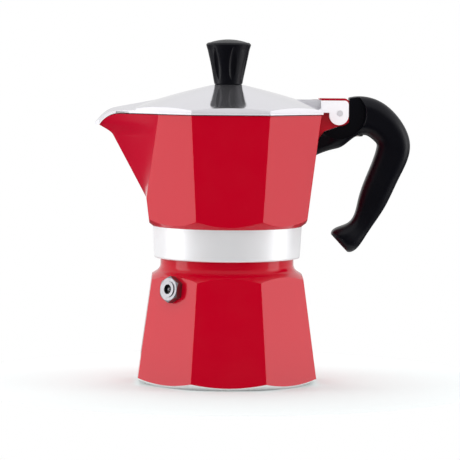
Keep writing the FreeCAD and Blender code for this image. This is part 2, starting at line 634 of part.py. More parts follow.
def coil(low, high):
    """Compression spring: a round wire along quarter-turn arcs of a helix between two heights."""
    radius = number("spring_coil_radius")
    wire_radius = number("spring_wire_radius")
    quarters = max(4, round(number("spring_turns") * 4))

    def at(step):
        angle = step * math.pi / 2
        return Vector(radius * math.cos(angle), radius * math.sin(angle),
                      low + (high - low) * step / quarters)

    path = Part.Wire([Part.Arc(at(step), at(step + 0.5), at(step + 1)).toShape()
                      for step in range(quarters)])
    first = path.Edges[0]
    along = first.tangentAt(first.FirstParameter)
    section = Part.Wire([Part.Circle(at(0), along, wire_radius).toShape()])
    rise = (high - low) / quarters * 4
    print(f"valve spring: {rise - 2 * wire_radius:.2f} mm between turns")
    return path.makePipeShell([section], True, False)


def make_sieve(label, low, radius, open_radius):
    """Flat perforated disc: rings of holes, each ring six holes fuller than the one inside it."""
    body = new_body(label)
    disc = circle(new_sketch(body, "XY_Plane", f"{label}_edge", low), "0", "0", radius)
    extruded(body, f"{label}_disc", disc, "sieve_thickness", symmetric=False)
    rings = int(number(f"({open_radius} - sieve_hole_radius) / sieve_ring_step"))
    for ring in range(rings + 1):
        hole = new_sketch(body, "XY_Plane", f"{label}_hole_{ring}", low)
        circle(hole, f"sieve_ring_step * {ring}", "0", "sieve_hole_radius")
        cut = extruded(body, f"{label}_ring_{ring}", hole, "4 * sieve_thickness", cut=True)
        if ring:
            repeated(body, f"{label}_holes_{ring}", cut, str(6 * ring))
    return body


def make_funnel():
    body = new_body("funnel")
    top = "boiler_height + funnel_flange"
    cone_top = "sieve_height"
    cone_end = "sieve_height - funnel_cone_drop"
    stem_end = "boiler_floor + stem_clearance"
    inner = "basket_radius - funnel_sheet"
    section = section_of_turning(body, "funnel_section", [
        ("stem_radius - funnel_sheet", stem_end), ("stem_radius", stem_end), ("stem_radius", cone_end),
        ("basket_radius", f"{cone_top} - funnel_sheet"), ("basket_radius", "boiler_height"),
        ("funnel_flange_radius", "boiler_height"), ("funnel_flange_radius", top), (inner, top),
        (inner, cone_top), (f"{inner} - 2 * funnel_sheet", cone_top),
        ("stem_radius - funnel_sheet", f"{cone_end} + funnel_sheet")])
    revolved(body, "funnel_wall", section)
    return body


def make_gasket():
    body = new_body("gasket")
    low = "boiler_height + funnel_flange"
    outer = "skirt_bore - gasket_fit"
    section = section_of_turning(body, "gasket_section", [
        ("gasket_inner_radius", low), (outer, low), (outer, "seat_height"),
        ("gasket_inner_radius", "seat_height")])
    revolved(body, "gasket_ring", section)
    return body


def spout_station(body, name, station, side, nose):
    """Level section of the spout: flanks from the facets to a rounded ridge at -X."""
    mark = f"spout_{station}_{side}"
    inside = "skirt_top_radius / 2"
    hollow = number(f"spout_{station}_bow") > 0
    flank = (f"-{mark}_chord / 2 / sin(spout_{station}_bow)",) if hollow else ()
    return outline(new_sketch(body, "XY_Plane", name, f"spout_{station}_level"), [
        (f"-{mark}_root", f"-{mark}_half") + flank, (f"-{inside}", f"-{inside} / 2"),
        (f"-{inside}", f"{inside} / 2"), (f"-{mark}_root", f"{mark}_half"),
        (f"-{mark}_touch", f"{mark}_aside") + flank, (f"-{mark}_touch", f"-{mark}_aside", nose)])


def make_collector():
    body = new_body("collector")
    faceted(body, "bowl", "skirt_top", "foot_flats / 2", "rim_height", "rim_flats / 2")
    rounded(body, "bowl_facet_edges", "facet_edge_radius", is_upright)
    opening = outline(new_sketch(body, "XZ_Plane", "opening"), [
        ("-spout_0_crease", "spout_start"), ("-spout_4_crease", "rim_height"),
        ("-rim_flats", "rim_height"), ("-rim_flats", "spout_start")])
    extruded(body, "spout_opening", opening, "2 * rim_flats", cut=True)
    stations = range(len(SPOUT_HEIGHTS))
    flanks =[spout_station(body, f"flank_{station}", station, "out", "spout_nose_radius")
              for station in stations]
    lofted(body, "spout", flanks[:2], ruled=True)
    lofted(body, "spout_nose", flanks[1:])
    bevel_top = "skirt_top + (clear_radius - skirt_top_radius) * tan(underside_slope)"
    underside = section_of_turning(body, "underside", [
        ("skirt_top_radius", "skirt_top"), ("skirt_top_radius", "skirt_top - collector_wall"),
        ("clear_radius", "skirt_top - collector_wall"), ("clear_radius", bevel_top)])
    revolved(body, "turned_underside", underside, cut=True)
    skirt = section_of_turning(body, "skirt", [
        ("0", "skirt_bottom"), ("skirt_bottom_radius", "skirt_bottom"), ("skirt_top_radius", "skirt_top"),
        ("0", "skirt_top")])
    revolved(body, "turned_band", skirt)
    ring = (number("skirt_bottom_radius"), number("skirt_bottom"))
    rounded(body, "band_edge", "skirt_edge_radius", lambda edge: is_ring(edge, *ring))
    low = octagon(new_sketch(body, "XY_Plane", "bowl_floor_outline", "floor_height"),
                  f"{bowl_apothem('floor_height')} - collector_wall")
    high = octagon(new_sketch(body, "XY_Plane", "bowl_mouth", "rim_height"),
                   "rim_flats / 2 - collector_wall")
    lofted(body, "bowl", [low, high], cut=True, ruled=True)
    channel = [spout_station(body, f"channel_{station}", station, "in", "spout_nose_radius / 2")
               for station in stations]
    lofted(body, "pouring_channel", channel[:2], cut=True, ruled=True)
    lofted(body, "pouring_nose", channel[1:], cut=True)
    plate_recess = "plate_radius + plate_fit"
    plate_top = "seat_height + sieve_thickness"
    dome_top = f"{plate_top} + dome_rise"
    below = section_of_turning(body, "seat", [
        ("0", "skirt_bottom - skirt_height"), ("skirt_bore", "skirt_bottom - skirt_height"),
        ("skirt_bore", "seat_height"), (plate_recess, "seat_height"), (plate_recess, plate_top),
        ("dome_radius", plate_top), ("chimney_spigot_radius", dome_top),
        ("chimney_spigot_radius", "floor_height + collector_wall"),
        ("0", "floor_height + collector_wall")])
    revolved(body, "bored_underside", below, cut=True)
    end = ("-(spout_lip_start + lip_radius * sin(75))", "rim_height - lip_radius * (1 - cos(75))")
    lip = outline(new_sketch(body, "XZ_Plane", "lip_line"), [
        ("-spout_lip_start", "rim_height + bowl_floor"), ("-rim_flats", "rim_height + bowl_floor"),
        ("-rim_flats", end[1]), end, ("-spout_lip_start", "rim_height", "-lip_radius")])
    extruded(body, "lip", lip, "rim_flats", cut=True)
    make_lug(body)
    return body


def from_pin(across, up):
    """A point of the XZ plane, given from the hinge pin."""
    return f"hinge_reach + ({across})", f"hinge_height + ({up})"


def make_lug(body):
    """Cast hinge lug with its pin hole, and the tongue that the handle is screwed to."""
    heel_drop = "sqrt(lug_heel ^ 2 - lug_front ^ 2)"
    wall_inside = f"{bowl_apothem('rim_height')} - collector_wall"
    foot_height = "hinge_height - lug_foot_drop"
    profile = outline(new_sketch(body, "XZ_Plane", "lug_profile"), [
        from_pin("lug_front", f"-{heel_drop}") + ("lug_heel",),
        from_pin("lug_front", "lug_top - lug_corner"),
        from_pin("lug_front - lug_corner", "lug_top") + ("lug_corner",),
        from_pin("-lug_back", "lug_top"),
        (wall_inside, "rim_height"),
        (f"{bowl_apothem(foot_height)} - collector_wall", foot_height),
        (bowl_apothem(foot_height), foot_height),
        from_pin("-hinge_offset + 1.5 * pin_radius", "-lug_heel - pin_radius * 2"),
        from_pin("0", "-lug_heel"),
    ])
    extruded(body, "lug", profile, "lug_width")
    tongue = outline(new_sketch(body, "XZ_Plane", "tongue_profile"), [
        from_pin("-pin_radius", "-tongue_top"), from_pin("-pin_radius", "-tongue_bottom"),
        from_pin("tongue_reach", "-tongue_bottom"), from_pin("tongue_reach", "-tongue_top")])
    extruded(body, "tongue", tongue, "tongue_width")
    hole = circle(new_sketch(body, "XZ_Plane", "pin_hole"), *from_pin("0", "0"), "pin_radius")
    extruded(body, "pin_bore", hole, "2 * lug_width", cut=True)
    screw = circle(new_sketch(body, "XY_Plane", "screw_hole", "hinge_height - tongue_bottom"),
                   "hinge_reach + handle_screw_reach", "0", "handle_screw_radius")
    extruded(body, "screw_bore", screw, "2 * (handle_screw_depth + screw_fit)", cut=True)


def make_chimney():
    body = new_body("chimney")
    low = "seat_height + sieve_thickness + dome_rise"
    shoulder = "floor_height + chimney_height - chimney_cap_height"
    spigot = "chimney_spigot_radius - valve_fit"
    collar = "floor_height + chimney_flange"
    cap_bow = "(chimney_tip_radius ^ 2 + chimney_cap_height ^ 2) / 2 / chimney_cap_height"
    column = section_of_turning(body, "column", [
        ("0", low), (spigot, low), (spigot, "floor_height"), ("chimney_flange_radius", "floor_height"),
        ("chimney_foot_radius", collar), ("chimney_tip_radius", shoulder),
        ("0", "floor_height + chimney_height", cap_bow)])
    revolved(body, "turned_column", column)
    riser = section_of_turning(body, "riser", [
        ("0", f"{low} - dome_rise"), ("chimney_bore_radius", f"{low} - dome_rise"),
        ("chimney_bore_radius", shoulder), ("0", f"{shoulder} + chimney_bore_radius / 2")])
    revolved(body, "bore", riser, cut=True)
    half = "chimney_slot_width / 2"
    slot_top = f"{shoulder} - {half} / 2"
    slot = outline(new_sketch(body, "XZ_Plane", "slot"), [
        (half, f"{slot_top} - chimney_slot_height"), (half, f"{slot_top} - {half}"),
        ("0", slot_top, half), (f"-{half}", f"{slot_top} - {half}", half),
        (f"-{half}", f"{slot_top} - chimney_slot_height")])
    extruded(body, "side_openings", slot, "4 * chimney_foot_radius", cut=True)
    return body


def gable(body, name, reach, half, low, side, ridge):
    """Upright section across the lid's beak: two sides and a low ridge."""
    return outline(new_sketch(body, "YZ_Plane", name, f"-({reach})"), [
        (f"-({half})", low), (half, low), (half, side), ("0", ridge), (f"-({half})", side)])


def trim_beak(body):
    """Cut the lid's plan back to the spout's, with its overhang and a rounded tip."""
    root = ("-spout_4_out_root", "spout_rim_half + beak_overhang")
    touch = ("-spout_4_out_touch", "spout_4_out_aside + beak_overhang")
    bow = "-spout_4_out_chord / 2 / sin(spout_bow)"
    run = f"(beak_{len(BEAK) - 1}_reach - spout_4_out_touch)"
    tip_radius = f"({run} ^ 2 + ({touch[1]}) ^ 2) / 2 / {run}"
    plan = outline(new_sketch(body, "XY_Plane", "beak_plan", "lid_bottom"), [
        root, touch + (bow,), (touch[0], f"-({touch[1]})", tip_radius), (root[0], f"-({root[1]})", bow),
        (root[0], "-rim_flats"), ("-rim_flats", "-rim_flats"), ("-rim_flats", "rim_flats"),
        (root[0], "rim_flats")])
    extruded(body, "beak_plan_cut", plan, "4 * lid_height", cut=True)


def make_lid():
    body = new_body("lid")
    edge = octagon(new_sketch(body, "XY_Plane", "lid_edge", "lid_bottom"), "lid_apothem")
    extruded(body, "lid_blank", edge, "lid_height + lid_thickness", symmetric=False)
    bead = octagon(new_sketch(body, "XY_Plane", "bead_edge", "lid_bottom"), "lid_apothem + lid_bead")
    extruded(body, "bead", bead, "lid_bead_height", symmetric=False)
    far = "lid_apothem / cos(22.5) + 2 * lid_side_wall"
    over = "knob_seat + 2 * lid_thickness"
    crown = section_of_turning(body, "crown", [
        ("0", over), ("0", "knob_seat"), ("knob_seat_radius", "knob_seat"),
        (far, "lid_bottom + lid_corner_edge", "-lid_crown"), (far, over)])
    revolved(body, "turned_crown", crown, cut=True)
    beak = [gable(body, f"beak_{station}", f"beak_{station}_reach", f"beak_{station}_half + beak_trim",
                  "lid_bottom - beak_low",
                  *[f"lid_bottom + beak_{station}_{word}" for word in ("side", "ridge")])
            for station in range(len(BEAK))]
    lofted(body, "beak", beak)
    under_radius = "(lip_radius + lid_gap)"
    end = (f"-(spout_lip_start + {under_radius} * sin(75))", f"lid_bottom - {under_radius} * (1 - cos(75))")
    beak_line = outline(new_sketch(body, "XZ_Plane", "beak_line"), [
        end, ("-spout_lip_start", "lid_bottom", f"-{under_radius}"), ("0", "lid_bottom"), ("0", end[1])])
    extruded(body, "beak_underside", beak_line, "2 * rim_flats", cut=True)
    trim_beak(body)
    vent = outline(new_sketch(body, "XZ_Plane", "vent"), [
        ("-vent_start", "lid_bottom - beak_low"), ("-vent_start", "lid_bottom + vent_height"),
        ("-vent_start - vent_length", "lid_bottom + vent_height"),
        ("-vent_start - vent_length", "lid_bottom - beak_low")])
    extruded(body, "steam_vent", vent, "rim_flats", cut=True, symmetric=False, reverse=True)
    arm_start = "hinge_reach - 2 * fork_depth"
    arm = outline(new_sketch(body, "XZ_Plane", "arm_profile"), [
        (arm_start, "hinge_height + arm_top - lid_thickness"), ("hinge_reach - fork_depth", "lid_bottom"),
        ("hinge_reach - ear_root + ear_gap", "lid_bottom"),
        ("hinge_reach - ear_root + ear_gap", "hinge_height + arm_top"),
        (arm_start, "hinge_height + arm_top")])
    extruded(body, "arm", arm, "arm_width")
    ear_half = "(ear_front + ear_back) / 2"
    ear = outline(new_sketch(body, "XZ_Plane", "ear_profile"), [
        from_pin("-ear_root", "ear_gap"), from_pin("-ear_back", "ear_gap"),
        from_pin("-ear_back", "-ear_drop"),
        from_pin("(ear_front - ear_back) / 2", f"-ear_drop - {ear_half}") + (ear_half,),
        from_pin("ear_front", "-ear_drop") + (ear_half,), from_pin("ear_front", "ear_top - ear_corner"),
        from_pin("ear_front - ear_corner", "ear_top") + ("ear_corner",), from_pin("-ear_root", "ear_top")])
    extruded(body, "ears", ear, "ears_width")
    under = section_of_turning(body, "underside", [
        ("0", "lid_bottom - lid_height"), ("lid_apothem - lid_side_wall", "lid_bottom - lid_height"),
        ("lid_apothem - lid_side_wall", "lid_bottom + lid_flange_inner"),
        ("knob_seat_radius", "knob_seat - lid_thickness", "lid_crown"),
        ("0", "knob_seat - lid_thickness")])
    revolved(body, "hollow", under, cut=True)
    inner = [gable(body, f"beak_hollow_{station}", f"beak_{station}_reach - 2 * lid_thickness",
                   f"beak_{station}_half - lid_side_wall", "lid_bottom - beak_low",
                   "lid_bottom + lid_corner_edge / 2",
                   f"lid_bottom + beak_{station}_ridge - lid_thickness") for station in range(4)]
    lofted(body, "beak_hollow", inner, cut=True)
    slot = outline(new_sketch(body, "XZ_Plane", "slot_between_ears"), [
        from_pin("-fork_depth", "-fork_depth"), from_pin("fork_depth", "-fork_depth"),
        from_pin("fork_depth", "fork_depth"), from_pin("-fork_depth", "fork_depth")])
    extruded(body, "fork", slot, "lug_width + 2 * ear_gap", cut=True)
    pin_hole = circle(new_sketch(body, "XZ_Plane", "ear_holes"), *from_pin("0", "0"), "pin_radius + pin_fit")
    extruded(body, "ear_bores", pin_hole, "2 * ears_width", cut=True)
    screw_hole = circle(new_sketch(body, "XY_Plane", "screw_hole", "knob_seat"), "0", "0",
                        "knob_screw_radius + screw_fit")
    extruded(body, "screw_bore", screw_hole, "4 * lid_thickness", cut=True)
    return body


def make_turned(label, corners):
    body = new_body(label)
    revolved(body, f"{label}_turned", section_of_turning(body, f"{label}_section", corners))
    return body


def make_knob():
    edge = "knob_rim_radius - knob_edge_round"
    edge_height = f"knob_seat + knob_height - knob_crown + sqrt(knob_crown ^ 2 - ({edge}) ^ 2)"
    body = make_turned("lid_knob", [
        ("0", "knob_seat"), ("knob_foot_radius - knob_foot_bevel", "knob_seat"),
        ("knob_foot_radius", "knob_seat + knob_foot_bevel"),
        ("knob_side_radius", "knob_seat + knob_side_height"),
        ("knob_rim_radius", "knob_seat + knob_rim_height"), (edge, edge_height, "knob_edge_radius"),
        ("0", "knob_seat + knob_height", "knob_crown")])
    slope = "(knob_side_radius - knob_foot_radius) / knob_side_height"
    ends = [(f"-(knob_foot_radius + ({height}) * {slope} + flute_stand)", f"knob_seat + {height}")
            for height in ("flute_middle + flute_run", "flute_middle - flute_run")]
    bulge = f"flute_bulge * sqrt(1 + ({slope}) ^ 2)"
    flute = outline(new_sketch(body, "XZ_Plane", "flute"), [ends[0], ends[1] + (bulge,)])
    cut = revolved(body, "flute_cut", flute, cut=True, axis="Edge1")
    repeated(body, "flutes", cut, "knob_flutes")
    hole = section_of_turning(body, "screw_hole", [
        ("0", "knob_seat - lid_thickness"), ("knob_screw_radius + valve_fit", "knob_seat - lid_thickness"),
        ("knob_screw_radius + valve_fit", "knob_seat + knob_screw_depth + screw_fit"),
        ("0", "knob_seat + knob_screw_depth + screw_fit")])
    revolved(body, "screw_bore", hole, cut=True)
    return body


def make_knob_fixings():
    """Washer against the lid's underside, and the screw through it."""
    under_lid = "knob_seat - lid_thickness"
    under_washer = f"{under_lid} - knob_washer"
    hole = "knob_screw_radius + screw_fit"
    washer = make_turned("knob_washer", [
        (hole, under_washer), ("knob_washer_radius", under_washer), ("knob_washer_radius", under_lid),
        (hole, under_lid)])
    head = f"{under_washer} - knob_screw_head"
    screw = make_turned("knob_screw", [
        ("0", head), ("knob_screw_head_radius - knob_screw_head / 2", head),
        ("knob_screw_head_radius", f"{under_washer} - knob_screw_head / 2", "knob_screw_head / 2"),
        ("knob_screw_head_radius", under_washer), ("knob_screw_radius", under_washer),
        ("knob_screw_radius", "knob_seat + knob_screw_depth"), ("0", "knob_seat + knob_screw_depth")])
    return [washer, screw]


def make_hinge_pin():
    body = new_body("hinge_pin")
    end = circle(new_sketch(body, "XZ_Plane", "pin_end"), *from_pin("0", "0"), "pin_radius")
    extruded(body, "pin", end, "ears_width + 2 * pin_stand")
    return body


def make_handle():
    body = new_body("handle")
    sections = []
    for station in range(len(HANDLE)):
        mark = f"handle_{station}"
        across, up = from_pin(f"{mark}_across", f"{mark}_up")
        if station == 0:
            across = f"{bowl_apothem(up)} + handle_gap"
        drawn = new_sketch(body, "YZ_Plane", f"section_{station}", across, 0, up, f"-{mark}_heading")
        corner = f"(handle_corner * min({mark}_width; {mark}_depth))"
        sections.append(oval(drawn, f"{mark}_width", f"{mark}_depth", corner))
    lofted(body, "grip", sections)
    gap = "(handle_gap + pin_fit)"
    foot_height = f"hinge_height - lug_foot_drop - {gap}"
    notch = outline(new_sketch(body, "XZ_Plane", "notch"), [
        from_pin(f"lug_front + {gap}", "2 * lug_top"),
        (f"{bowl_apothem(foot_height)} - collector_wall", "hinge_height + 2 * lug_top"),
        (f"{bowl_apothem(foot_height)} - collector_wall", foot_height),
        (bowl_apothem(foot_height), foot_height),
        from_pin("-hinge_offset + 1.5 * pin_radius", f"-lug_heel - pin_radius * 2 - {gap}"),
        from_pin("0", f"-lug_heel - {gap}"),
        from_pin(f"lug_front + {gap}", f"-sqrt((lug_heel + {gap}) ^ 2 - (lug_front + {gap}) ^ 2)")
        + (f"lug_heel + {gap}",)])
    extruded(body, "lug_notch", notch, "4 * ears_width", cut=True)
    rim = "hinge_reach + swing_radius"
    outside = "handle_2_width + swing_rim_round / 5"
    swing = outline(new_sketch(body, "XY_Plane", "swing", "hinge_height"), [
        ("hinge_reach", "web_width / 2"), (rim, "web_width / 2"), (rim, f"{outside} - swing_rim_round"),
        (f"{rim} + swing_rim_round", outside, "-swing_rim_round"),
        (f"{rim} + swing_rim_round", "ears_width"), ("hinge_reach", "ears_width")])
    side = revolved(body, "ear_recess", swing, cut=True, axis="Edge1")
    mirrored(body, "ear_recesses", side)
    slot = outline(new_sketch(body, "XZ_Plane", "tongue_slot"), [
        from_pin("-pin_radius - tongue_fit", "-tongue_top + tongue_fit"),
        from_pin("-pin_radius - tongue_fit", "-tongue_bottom - tongue_fit"),
        from_pin("tongue_reach + tongue_fit", "-tongue_bottom - tongue_fit"),
        from_pin("tongue_reach + tongue_fit", "-tongue_top + tongue_fit")])
    extruded(body, "slot", slot, "tongue_width + 2 * tongue_fit", cut=True)
    seat = "hinge_height - tongue_bottom - handle_screw_floor"
    screw_at = "hinge_reach + handle_screw_reach"
    head = circle(new_sketch(body, "XY_Plane", "head_recess", seat), screw_at, "0",
                  "handle_screw_head_radius + screw_fit")
    extruded(body, "counterbore", head, "4 * handle_screw_head", cut=True, symmetric=False)
    shank = circle(new_sketch(body, "XY_Plane", "shank_hole", seat), screw_at, "0",
                   "handle_screw_radius + screw_fit")
    extruded(body, "shank_bore", shank, "2 * handle_screw_floor", cut=True, symmetric=False, reverse=True)
    return body


def make_handle_screw():
    """Pan-head screw along its own Z, stood under the tongue."""
    body = make_turned("handle_screw", [
        ("0", "-handle_screw_head"),
        ("handle_screw_head_radius - handle_screw_head / 2", "-handle_screw_head"),
        ("handle_screw_head_radius", "-handle_screw_head / 2", "handle_screw_head / 2"),
        ("handle_screw_head_radius", "0"), ("handle_screw_radius - valve_fit", "0"),
        ("handle_screw_radius - valve_fit", "handle_screw_floor + handle_screw_depth"),
        ("0", "handle_screw_floor + handle_screw_depth")])
    body.Placement.Base = Vector(number("hinge_reach + handle_screw_reach"), 0,
                                 number("hinge_height - tongue_bottom - handle_screw_floor"))
    return body


parts = [make_boiler(), *make_safety_valve(), make_funnel(), make_gasket(), make_collector(),
         make_chimney(), make_lid(), make_knob(), *make_knob_fixings(), make_hinge_pin(), make_handle(),
         make_handle_screw()]
sieve_radius = "basket_radius - funnel_sheet - valve_fit"
parts.append(make_sieve("funnel_filter_disc", "sieve_height", sieve_radius,
                        f"{sieve_radius} - 2 * funnel_sheet"))
parts.append(make_sieve("filter_plate", "seat_height", "plate_radius",
                        "gasket_inner_radius - sieve_thickness"))

doc.recompute()
faults = [item.Name for item in doc.Objects if {"Invalid", "Error"} & set(item.State)]
faults += [item.Label for item in parts if item.Shape.isNull() or not item.Shape.isValid()]
if faults:
    raise RuntimeError(f"failed objects: {faults}")
os.makedirs("parts", exist_ok=True)
for item in parts:
    item.Shape.exportStep(f"parts/{item.Label}.step")
    print(f"{item.Label}: {item.Shape.Volume:.1f} mm3, {len(item.Shape.Solids)} solid(s)")
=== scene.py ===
import json
import math

import bpy
from mathutils import Euler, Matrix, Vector


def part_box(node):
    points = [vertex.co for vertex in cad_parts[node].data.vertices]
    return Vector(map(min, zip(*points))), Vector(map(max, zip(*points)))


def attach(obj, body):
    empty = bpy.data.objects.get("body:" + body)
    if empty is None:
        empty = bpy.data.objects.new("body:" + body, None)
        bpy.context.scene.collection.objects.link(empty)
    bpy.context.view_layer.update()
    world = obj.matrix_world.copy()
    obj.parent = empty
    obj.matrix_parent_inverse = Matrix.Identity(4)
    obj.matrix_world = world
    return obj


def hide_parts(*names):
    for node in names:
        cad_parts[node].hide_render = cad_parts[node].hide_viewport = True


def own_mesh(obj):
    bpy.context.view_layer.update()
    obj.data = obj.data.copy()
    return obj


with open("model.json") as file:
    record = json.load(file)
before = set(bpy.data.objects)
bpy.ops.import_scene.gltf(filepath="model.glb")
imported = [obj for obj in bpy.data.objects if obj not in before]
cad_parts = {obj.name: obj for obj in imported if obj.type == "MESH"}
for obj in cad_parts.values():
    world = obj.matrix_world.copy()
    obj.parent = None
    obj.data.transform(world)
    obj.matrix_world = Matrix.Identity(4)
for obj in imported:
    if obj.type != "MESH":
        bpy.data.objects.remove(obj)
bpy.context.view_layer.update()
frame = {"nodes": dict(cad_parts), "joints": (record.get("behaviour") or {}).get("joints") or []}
nodes = frame["nodes"]

MM = 0.001

# Heights at which the finish changes
skirt_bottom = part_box("collector")[0][2]
band_top = skirt_bottom + 15.2 * MM
rim_height = band_top + 53.5 * MM
foot_bevel_top = 4.0 * MM
neck_bottom = skirt_bottom + 1 * MM
# Axis to the collector's flat sides, above the band and at the rim
half_flats_at_band = 37.15 * MM
half_flats_at_rim = 43.7 * MM
# Where the spout's flanks start, along X and above the base
flank_start = -26 * MM
flank_bottom = band_top + 9 * MM
# Where the collector's lug and the lid's ears start, along X
lug_start = 42 * MM
ear_start = 45 * MM
# Middle of the valve on the face of its facet, and the way that it points
valve_spot = Vector((-25.87, -25.87, 46.0)) * MM
valve_slide = next(joint for joint in frame["joints"] if joint["name"] == "valve_pin_slide")
valve_axis = Vector(valve_slide["axis"]).normalized()


def linear(code):
    """Linear RGBA of an sRGB colour such as "B40020"."""
    shares = [int(code[i:i + 2], 16) / 255 for i in (0, 2, 4)]
    return [s / 12.92 if s <= 0.04045 else ((s + 0.055) / 1.055) ** 2.4 for s in shares] + [1.0]


def add_node(tree, kind, inputs=None, **settings):
    """Add a shader node. Inputs are constants, or sockets of other nodes."""
    node = tree.nodes.new(kind)
    for name, value in settings.items():
        setattr(node, name, value)
    for name, value in (inputs or {}).items():
        if isinstance(value, bpy.types.NodeSocket):
            tree.links.new(value, node.inputs[name])
        else:
            node.inputs[name].default_value = value
    return node


def surface(name, **inputs):
    """Material with one Principled surface."""
    made = bpy.data.materials.new(name)
    made.use_nodes = True
    shader = made.node_tree.nodes["Principled BSDF"]
    for socket, value in inputs.items():
        shader.inputs[socket.replace("_", " ")].default_value = value
    return made


def raised(made, height, depth):
    """Let the height socket stand up from the surface by depth."""
    tree = made.node_tree
    bump = add_node(tree, "ShaderNodeBump", {"Height": height, "Distance": depth, "Strength": 1.0})
    tree.links.new(bump.outputs[0], tree.nodes["Principled BSDF"].inputs["Normal"])
    return made


def turned_lines(made, spacing, depth):
    """Tool marks round the pot's axis, one every spacing along Z and along the radius."""
    tree = made.node_tree
    place = add_node(tree, "ShaderNodeTexCoord")
    split = add_node(tree, "ShaderNodeSeparateXYZ", {"Vector": place.outputs["Object"]})
    flat = add_node(tree, "ShaderNodeCombineXYZ", {"X": split.outputs["X"], "Y": split.outputs["Y"]})
    radius = add_node(tree, "ShaderNodeVectorMath", {0: flat.outputs[0]}, operation="LENGTH")
    along = add_node(tree, "ShaderNodeMath", {0: split.outputs["Z"], 1: radius.outputs["Value"]})
    lines = add_node(tree, "ShaderNodeTexNoise",
                     {"W": along.outputs[0], "Scale": 1 / spacing, "Detail": 1.0}, noise_dimensions="1D")
    return raised(made, lines.outputs[0], depth)


def worn(made, patch, low, high):
    """Roughness that wanders between low and high in patches, as making and handling leave it."""
    tree = made.node_tree
    place = add_node(tree, "ShaderNodeTexCoord")
    noise = add_node(tree, "ShaderNodeTexNoise",
                     {"Vector": place.outputs["Object"], "Scale": 1 / patch, "Detail": 3.0})
    rough = add_node(tree, "ShaderNodeMapRange", {"Value": noise.outputs[0], "From Min": 0.3, "From Max": 0.7,
                                                  "To Min": low, "To Max": high})
    tree.links.new(rough.outputs[0], tree.nodes["Principled BSDF"].inputs["Roughness"])
    return made


def grained(made, grain, depth):
    """Fine grain all over, such as a casting or a moulding keeps from its mould."""
    tree = made.node_tree
    place = add_node(tree, "ShaderNodeTexCoord")
    noise = add_node(tree, "ShaderNodeTexNoise",
                     {"Vector": place.outputs["Object"], "Scale": 1 / grain, "Detail": 2.0})
    return raised(made, noise.outputs[0], depth)


# Enamel stoved on cast aluminium: deep red with a faint orange peel, paler where a facet mirrors a lamp
RED = surface("red_enamel", Base_Color=linear("BA001F"), Specular_IOR_Level=0.22)
grained(worn(RED, 14 * MM, 0.1, 0.15), 2.5 * MM, 0.003 * MM)
# The same enamel on the spout's hollow sides, less glossy as no wheel reaches them; its deeper red is painted
# shade, for the darker room that those sides mirror
SPOUT_PAINTED_SHADE = surface("spout_enamel_painted_shade", Base_Color=linear("AE0024"), Specular_IOR_Level=0.06)
grained(worn(SPOUT_PAINTED_SHADE, 14 * MM, 0.3, 0.36), 2.5 * MM, 0.003 * MM)
# Aluminium as the lathe leaves it: pale, with fine lines round the axis that spread light up and down
TURNED = surface("turned_aluminium", Base_Color=linear("EBEBED"), Metallic=0.3)
turned_lines(worn(TURNED, 5 * MM, 0.36, 0.44), 0.35 * MM, 0.01 * MM)
# Aluminium spun or turned for the inner pieces: greyer, with a clearer mirror between its lines
SPUN = surface("spun_aluminium", Base_Color=linear("C6C6C9"), Metallic=0.9)
turned_lines(worn(SPUN, 4 * MM, 0.28, 0.36), 0.4 * MM, 0.008 * MM)
# Foot faced on the lathe and lapped: near white and mostly matt, a painted reflection of the pale floor that
# the down-facing bevel would mirror
FOOT_PAINTED_LIGHT = surface("foot_aluminium_painted_light", Base_Color=linear("FFFEFD"), Metallic=0.1, Roughness=0.5)
turned_lines(FOOT_PAINTED_LIGHT, 0.5 * MM, 0.01 * MM)
# Aluminium polished on the wheel: it mirrors the knob, through marks that run round
POLISHED = surface("polished_aluminium", Base_Color=linear("E4E3E8"), Metallic=0.95)
turned_lines(worn(POLISHED, 8 * MM, 0.07, 0.11), 0.25 * MM, 0.0004 * MM)
# Aluminium brushed after casting: pale and soft, without a clear mirror image
SATIN = surface("satin_aluminium", Base_Color=linear("DCDBE0"), Metallic=0.12, Roughness=0.5)
grained(SATIN, 0.3 * MM, 0.004 * MM)
# Aluminium on the ears' flat sides made white and matt from every side: a painted highlight in place of the
# bright reflection that the ears show
EAR_PAINTED_LIGHT = surface("ear_aluminium_painted_light", Base_Color=linear("FCFBFF"), Roughness=0.6)
grained(EAR_PAINTED_LIGHT, 0.2 * MM, 0.004 * MM)
# Bare casting inside the vessels: grey and matt
CAST = surface("cast_aluminium", Base_Color=linear("C9C8CA"), Metallic=1.0, Roughness=0.5)
grained(CAST, 0.6 * MM, 0.03 * MM)
# Nickel-plated steel of springs and screws: bright and a little warm
STEEL = surface("bright_steel", Base_Color=linear("D2CFCA"), Metallic=1.0)
worn(STEEL, 2 * MM, 0.2, 0.32)
# Nickel plate over milled brass: grey, with a soft mirror
NICKEL = surface("nickel_plate", Base_Color=linear("87868A"), Metallic=1.0)
worn(NICKEL, 1.5 * MM, 0.3, 0.4)
# Nylon from a polished mould: black, a little blue, with a soft gloss
NYLON = surface("black_nylon", Base_Color=linear("05050E"), Specular_IOR_Level=0.22)
grained(worn(NYLON, 9 * MM, 0.35, 0.41), 0.6 * MM, 0.003 * MM)
# Silicone rubber: milky and matt
SILICONE = surface("silicone", Base_Color=linear("DEDBD4"), Roughness=0.6)
grained(SILICONE, 0.5 * MM, 0.01 * MM)


def finish(name, *materials, choose=None):
    """Give a node its material, or to each face the material that choose(middle, normal) returns."""
    mesh = nodes[name].data
    mesh.materials.clear()
    for made in materials:
        mesh.materials.append(made)
    for face in mesh.polygons:
        face.material_index = materials.index(choose(face.center, face.normal)) if choose else 0


def away_from_axis(middle, normal):
    """Above zero on faces that look away from the pot's axis, below zero on those that look towards it."""
    return middle.x * normal.x + middle.y * normal.y


